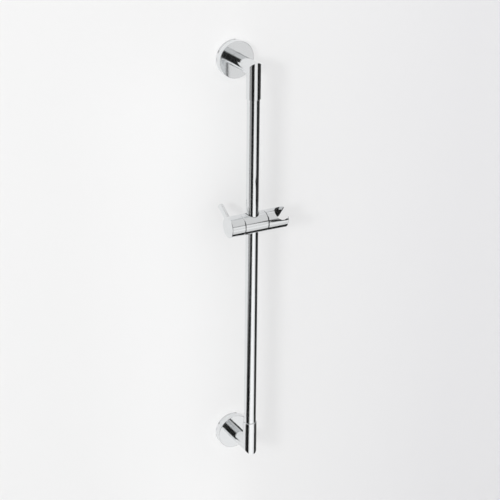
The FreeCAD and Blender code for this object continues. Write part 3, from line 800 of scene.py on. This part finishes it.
class SLIDERAIL_OT_clamp_knob(Operator):
    """Build the clamp's knob and the lever that turns it"""
    bl_idname = "slide_rail.clamp_knob"
    bl_label = "Clamp Knob"

    def execute(self, context):
        sizes = context.scene.slide_rail_sizes
        left, right, edge = knob_low.x, knob_high.x, sizes.edge
        # The lever's inner end lies flush with the knob's bore
        bore, bore_end = sizes.lever_start, left + sizes.knob_wall
        corners = barrel(left, right, sizes.knob_chamfer, sizes.joint_chamfer, edge)
        corners += [(bore, right, edge), (bore, bore_end, 0), (0.0, bore_end, 0)]
        knob = turned("chrome_clamp_knob", corners, ON_SLIDER)
        radial = Matrix.Translation(SLIDER_CENTRE + Vector((LEVER_X, 0, 0)))
        radial = radial @ Matrix.Rotation(-sizes.lever_lean, 4, "X")
        rod, tail, chamfer = sizes.lever_radius, sizes.lever_tail, sizes.lever_chamfer
        seat_floor, tip = SLIDER_RADIUS - sizes.lever_seat, SLIDER_RADIUS + sizes.lever_length
        hole = cutter("knob_lever_hole", [
            (tail + sizes.fit, bore - PAST, seat_floor),
            (rod + sizes.fit, seat_floor, SLIDER_RADIUS + PAST)], radial)
        fitted(carved(knob, hole), "clamp_knob")
        lever = turned("chrome_lever_pin", [
            (0.0, bore, 0), (tail, bore, edge), (tail, seat_floor, 0), (rod, seat_floor, edge),
            (rod, tip - chamfer, edge), (rod - chamfer, tip, edge), (0.0, tip, 0)], radial)
        fitted(lever, "lever_pin")
        return {"FINISHED"}


class SLIDERAIL_OT_handset_holder(Operator):
    """Build the holder with its open conical seat"""
    bl_idname = "slide_rail.handset_holder"
    bl_label = "Handset Holder"

    def execute(self, context):
        sizes = context.scene.slide_rail_sizes
        left, right = holder_low.x, holder_high.x
        corners = barrel(left, right, sizes.joint_chamfer, sizes.holder_chamfer, sizes.edge)
        holder = turned("chrome_handset_holder", [*corners, (0.0, right, 0)], ON_SLIDER)
        lean = Matrix.Translation(SLIDER_CENTRE) @ Matrix.Rotation(SEAT_TILT, 4, "X")
        half = SLIDER_RADIUS + PAST
        middle = (sizes.seat_top + sizes.seat_bottom) / 2
        taper = (sizes.seat_top - sizes.seat_bottom) / (2 * SLIDER_RADIUS) * half
        # The screw head's hole ends, and the slot begins, inside the cone
        head_end = SEAT_X - sizes.seat_bottom / 3
        cone = turned("holder_seat", [(0.0, -half, 0), (middle - taper, -half, 0), (middle + taper, half, 0),
                                      (0.0, half, 0)], lean @ Matrix.Translation((SEAT_X, 0, 0)))
        pivot = cutter("holder_pivot_hole", [
            (sizes.pivot_recess, left - PAST, sizes.recess_end),
            (sizes.pivot_bore, sizes.recess_end, sizes.pivot_floor),
            (sizes.head_bore, sizes.pivot_floor, head_end)], ON_SLIDER)
        slot_mesh = bpy.data.meshes.new("holder_slot")
        shape = bmesh.new()
        bmesh.ops.create_cube(shape, size=1.0)
        shape.to_mesh(slot_mesh)
        shape.free()
        slot_length = right + PAST - head_end
        stretch = Matrix.Diagonal((slot_length, sizes.hose_slot, 2 * half, 1.0))
        slot_mesh.transform(lean @ Matrix.Translation((head_end + slot_length / 2, 0, 0)) @ stretch)
        slot = linked("holder_slot", slot_mesh)
        fitted(carved(holder, cone, slot, pivot), "handset_holder")
        return {"FINISHED"}


def plane(name, corners, material):
    mesh = bpy.data.meshes.new(name)
    mesh.from_pydata(corners, [], [tuple(range(len(corners)))])
    mesh.materials.append(material)
    piece = linked(name, mesh)
    return piece


def stage_material(name):
    material = bpy.data.materials.new(name)
    material.use_nodes = True
    return material, Graph(material.node_tree)


def mirrored(graph):
    """One where the chrome is seen to reflect something, and nought where it only lights other things."""
    bounced = graph.node("ShaderNodeLightPath", output="Diffuse Depth")
    return graph.node("ShaderNodeLightPath", output="Is Glossy Ray") * (1 - bounced.rise(0.5, 0.1))


def one_sided(graph, paint):
    """Matt paint that is seen through from behind, and by what stands against it."""
    front = graph.node("ShaderNodeBsdfDiffuse", {}, {"Color": paint})
    back = graph.node("ShaderNodeBsdfTransparent")
    behind = graph.node("ShaderNodeNewGeometry", output="Backfacing")
    far = graph.node("ShaderNodeLightPath", output="Ray Length").rise(AGAINST, AGAINST_SOFT)
    coat = graph.node("ShaderNodeMixShader", {}, {0: behind.maximum(1 - far), 1: front, 2: back})
    graph.node("ShaderNodeOutputMaterial", {}, {"Surface": coat})


def wall_paint(studio):
    """Paint of the wall: a little darker to the right as painted shade, and paler round the covers and beside
    the rail as painted light.

    Seen in the chrome, the wall is painted dark a little to the right of the rail and below it: a painted
    reflection of the dark room beyond.
    """
    material, graph = stage_material("wall_paint")
    across, _, up = graph.split(graph.node("ShaderNodeTexCoord", output="Object"))
    # Painted light round each cover's rim, falling off with the distance from the nearer rim
    above = up - BRACKET_SPACING
    nearer = graph.maths("MINIMUM", up * up, above * above)
    off_rim = graph.maths("SQRT", across * across + nearer) - COVER_RADIUS
    painted_light = 1 + studio.painted_light * graph.maths("EXPONENT", off_rim / -studio.painted_light_reach)
    # Painted light: a pool of it beside the rail on the left, below a height
    painted_light = painted_light + studio.pool * across.between(PAINTED_POOL_LEFT, PAINTED_POOL_RIGHT) * up.fall(*PAINTED_POOL_TOP)
    # Painted shade: the paint darkens to the right of the rail
    painted_shade_right = across.ramp(0.0, studio.wall_shade_width)
    paint = mixed(graph, painted_shade_right, opaque(studio.wall_left), opaque(studio.wall_right_shaded))
    paint = graph.node("ShaderNodeVectorMath", {"operation": "SCALE"}, {0: paint, "Scale": painted_light})
    # Painted reflection: right of the rail up to a height, and below the lower bracket, the chrome sees the
    # wall dark
    reflected_dark_right = across.rise(studio.dark_reflection_right, DARK_REFLECTION_RIGHT_SOFT)
    reflected_dark_right = reflected_dark_right * up.fall(studio.dark_reflection_top, DARK_REFLECTION_TOP_SOFT)
    dark_reflection_mask = reflected_dark_right.maximum(up.fall(-studio.dark_reflection_bottom, DARK_REFLECTION_BOTTOM_SOFT))
    shown = mixed(graph, dark_reflection_mask * mirrored(graph), paint, opaque(studio.painted_dark_reflection))
    one_sided(graph, shown)
    return material


def floor_paint(studio):
    material, graph = stage_material("floor_paint")
    one_sided(graph, opaque(studio.floor))
    return material


def card_paint(studio):
    material, graph = stage_material("card_paint")
    paint = graph.node("ShaderNodeBsdfDiffuse", {}, {"Color": opaque(studio.card)})
    graph.node("ShaderNodeOutputMaterial", {}, {"Surface": paint})
    return material


def slanted(height, runs):
    """A bearing that shifts with height, as the sum of its runs."""
    bearing = height.ramp(*runs[0])
    for run in runs[1:]:
        bearing = bearing + height.ramp(*run)
    return bearing


def reflected_room(room, bearing, height):
    """Brightness of the room that the chrome shows, by bearing and height in degrees.

    A tall bright panel stands between a dark screen round the camera and another on the right.
    """
    past_left = bearing - slanted(height, CAMERA_SCREEN_LEFT)
    past_right = bearing - slanted(height, CAMERA_SCREEN_RIGHT)
    camera_screen = past_left.rise(0, SOFT_SLANT) * past_right.fall(0, CRISP_SLANT)
    camera_screen = camera_screen * height.fall(*CAMERA_SCREEN_TOP)
    past_panel = bearing - slanted(height, SIDE_SCREEN_LEFT)
    side_screen = past_panel.rise(0, CRISP_SLANT) * height.between(*SIDE_SCREEN_HEIGHTS)
    side_screen = side_screen * (1 - bearing.between(*BEHIND_WALL))
    side_loss = room.side_screen - room.side_paler * bearing.rise(*SIDE_SCREEN_PALER)
    far_left = bearing.fall(*FAR_LEFT) * height.fall(*FAR_LEFT_TOP)
    near_right = bearing.rise(*NEAR_RIGHT) * height.fall(*NEAR_RIGHT_TOP)
    light = room.plain + room.panel * height.between(*PANEL_HEIGHTS)
    light = light - room.ceiling * height.rise(*CEILING) - room.lintel * height.between(*LINTEL_HEIGHTS)
    light = light * (1 - room.far_left * far_left) * (1 - room.camera_screen * camera_screen)
    light = light * (1 - room.near_right * near_right) * (1 - side_screen * side_loss)
    return light * (1 - room.ground * height.fall(*GROUND))


def dark_card(studio):
    """A small dark card before the holder that only the chrome sees; it draws a line along the holder."""
    away = Vector((math.cos(studio.card_bearing), math.sin(studio.card_bearing), 0))
    along = Vector((-away.y, away.x, 0))
    middle = SLIDER_CENTRE - Vector((0, SLIDER_RADIUS, 0)) + away * studio.card_distance
    left, right = along.x * holder_low.x - CARD_PAST_LEFT, along.x * holder_high.x + CARD_PAST_RIGHT
    foot, notch, top = CARD_LEFT_HEIGHTS
    right_foot, right_top = CARD_RIGHT_HEIGHTS
    outline = [(left, foot), (right, right_foot), (right, right_top), (left, top), CARD_TIP, (left, notch)]
    corners = [middle + along * across + Vector((0, 0, up)) for across, up in outline]
    card = plane("studio_card", corners, card_paint(studio))
    card.visible_camera = False
    card.visible_diffuse = False
    card.visible_shadow = False


def studio_room(studio, room):
    """Even light for the room, with a fuller room in reflections and a plain pale one behind the object."""
    world = bpy.data.worlds.new("studio_room")
    bpy.context.scene.world = world
    world.use_nodes = True
    graph = Graph(world.node_tree)
    across, out, up = graph.split(graph.node("ShaderNodeTexCoord", output="Generated"))
    bearing = graph.maths("ARCTAN2", out, across) * math.degrees(1)
    height = graph.maths("ARCSINE", up) * math.degrees(1)
    seen = graph.node("ShaderNodeLightPath", output="Is Camera Ray")
    even = studio.room_light
    light = even + mirrored(graph) * (reflected_room(room, bearing, height) - even)
    light = light + seen * (studio.backdrop - even)
    shine = graph.node("ShaderNodeBackground", {}, {"Color": (1.0, 1.0, 1.0, 1.0), "Strength": light})
    graph.node("ShaderNodeOutputWorld", {}, {"Surface": shine})


def key_lamp(studio):
    """The one lamp, which neither the camera nor the chrome sees."""
    lamp = bpy.data.lights.new("key_lamp", "AREA")
    lamp.energy = studio.key_power
    lamp.size = studio.key_size
    piece = linked("key_lamp", lamp)
    place, middle = Vector(studio.key_place), Vector((0, 0, BRACKET_SPACING / 2))
    piece.location = place
    piece.rotation_euler = (middle - place).to_track_quat("-Z", "Y").to_euler()
    piece.visible_glossy = False
    piece.visible_camera = False


def camera_turn(studio):
    """Which way the camera looks, and its axes as the columns of a turn."""
    azimuth, flat = studio.azimuth, math.cos(studio.elevation)
    ahead = Vector((math.sin(azimuth) * flat, math.cos(azimuth) * flat, -math.sin(studio.elevation)))
    level = ahead.to_track_quat("-Z", "Y").to_matrix()
    return ahead, level @ Matrix.Rotation(-studio.roll, 3, "Z")


class SLIDERAIL_OT_studio(Operator):
    """Build the wall, floor, card, lamp, room and camera"""
    bl_idname = "slide_rail.studio"
    bl_label = "Studio"

    def execute(self, context):
        studio = context.scene.slide_rail_studio
        side, behind = studio.half_width, studio.wall_gap
        floor, top, front = -studio.floor_drop, studio.wall_height, -studio.floor_front
        plane("studio_wall", [(-side, behind, floor), (side, behind, floor), (side, behind, top),
                              (-side, behind, top)], wall_paint(studio))
        ground = plane("studio_floor", [(-side, front, floor), (side, front, floor), (side, behind, floor),
                                        (-side, behind, floor)], floor_paint(studio))
        ground.visible_glossy = False
        dark_card(studio)
        key_lamp(studio)
        studio_room(studio, context.scene.slide_rail_room)
        lens = bpy.data.cameras.new("camera")
        lens.lens = studio.lens
        camera = linked("camera", lens)
        ahead, turn = camera_turn(studio)
        eye = Vector(studio.aim) - ahead * studio.distance
        camera.matrix_world = Matrix.Translation(eye) @ turn.to_4x4()
        context.scene.camera = camera
        context.scene.view_settings.view_transform = "Standard"
        return {"FINISHED"}


class SLIDERAIL_PT_pieces(Panel):
    """Lists the pieces in the sidebar"""
    bl_idname = "SLIDERAIL_PT_pieces"
    bl_label = "Shower Slide Rail"
    bl_space_type = "VIEW_3D"
    bl_region_type = "UI"
    bl_category = "Slide Rail"

    def draw(self, context):
        for operator in OPERATORS:
            self.layout.operator(operator.bl_idname)


GROUPS = {
    "slide_rail_sizes": SlideRailSizes,
    "slide_rail_finishes": SlideRailFinishes,
    "slide_rail_room": SlideRailRoom,
    "slide_rail_studio": SlideRailStudio,
}
OPERATORS = (
    SLIDERAIL_OT_rail_tube,
    SLIDERAIL_OT_elbows,
    SLIDERAIL_OT_flange_covers,
    SLIDERAIL_OT_wall_fixings,
    SLIDERAIL_OT_slider_body,
    SLIDERAIL_OT_slider_inside,
    SLIDERAIL_OT_clamp_knob,
    SLIDERAIL_OT_handset_holder,
    SLIDERAIL_OT_studio,
)
CLASSES = (*GROUPS.values(), *OPERATORS, SLIDERAIL_PT_pieces)


def register():
    for one in CLASSES:
        bpy.utils.register_class(one)
    for name, group in GROUPS.items():
        setattr(bpy.types.Scene, name, PointerProperty(type=group))


def unregister():
    for name in GROUPS:
        delattr(bpy.types.Scene, name)
    for one in reversed(CLASSES):
        bpy.utils.unregister_class(one)


def main():
    register()
    bpy.ops.slide_rail.rail_tube()
    bpy.ops.slide_rail.elbows()
    bpy.ops.slide_rail.flange_covers()
    bpy.ops.slide_rail.wall_fixings()
    bpy.ops.slide_rail.slider_body()
    bpy.ops.slide_rail.slider_inside()
    bpy.ops.slide_rail.clamp_knob()
    bpy.ops.slide_rail.handset_holder()
    bpy.ops.slide_rail.studio()


if __name__ == "__main__":
    main()
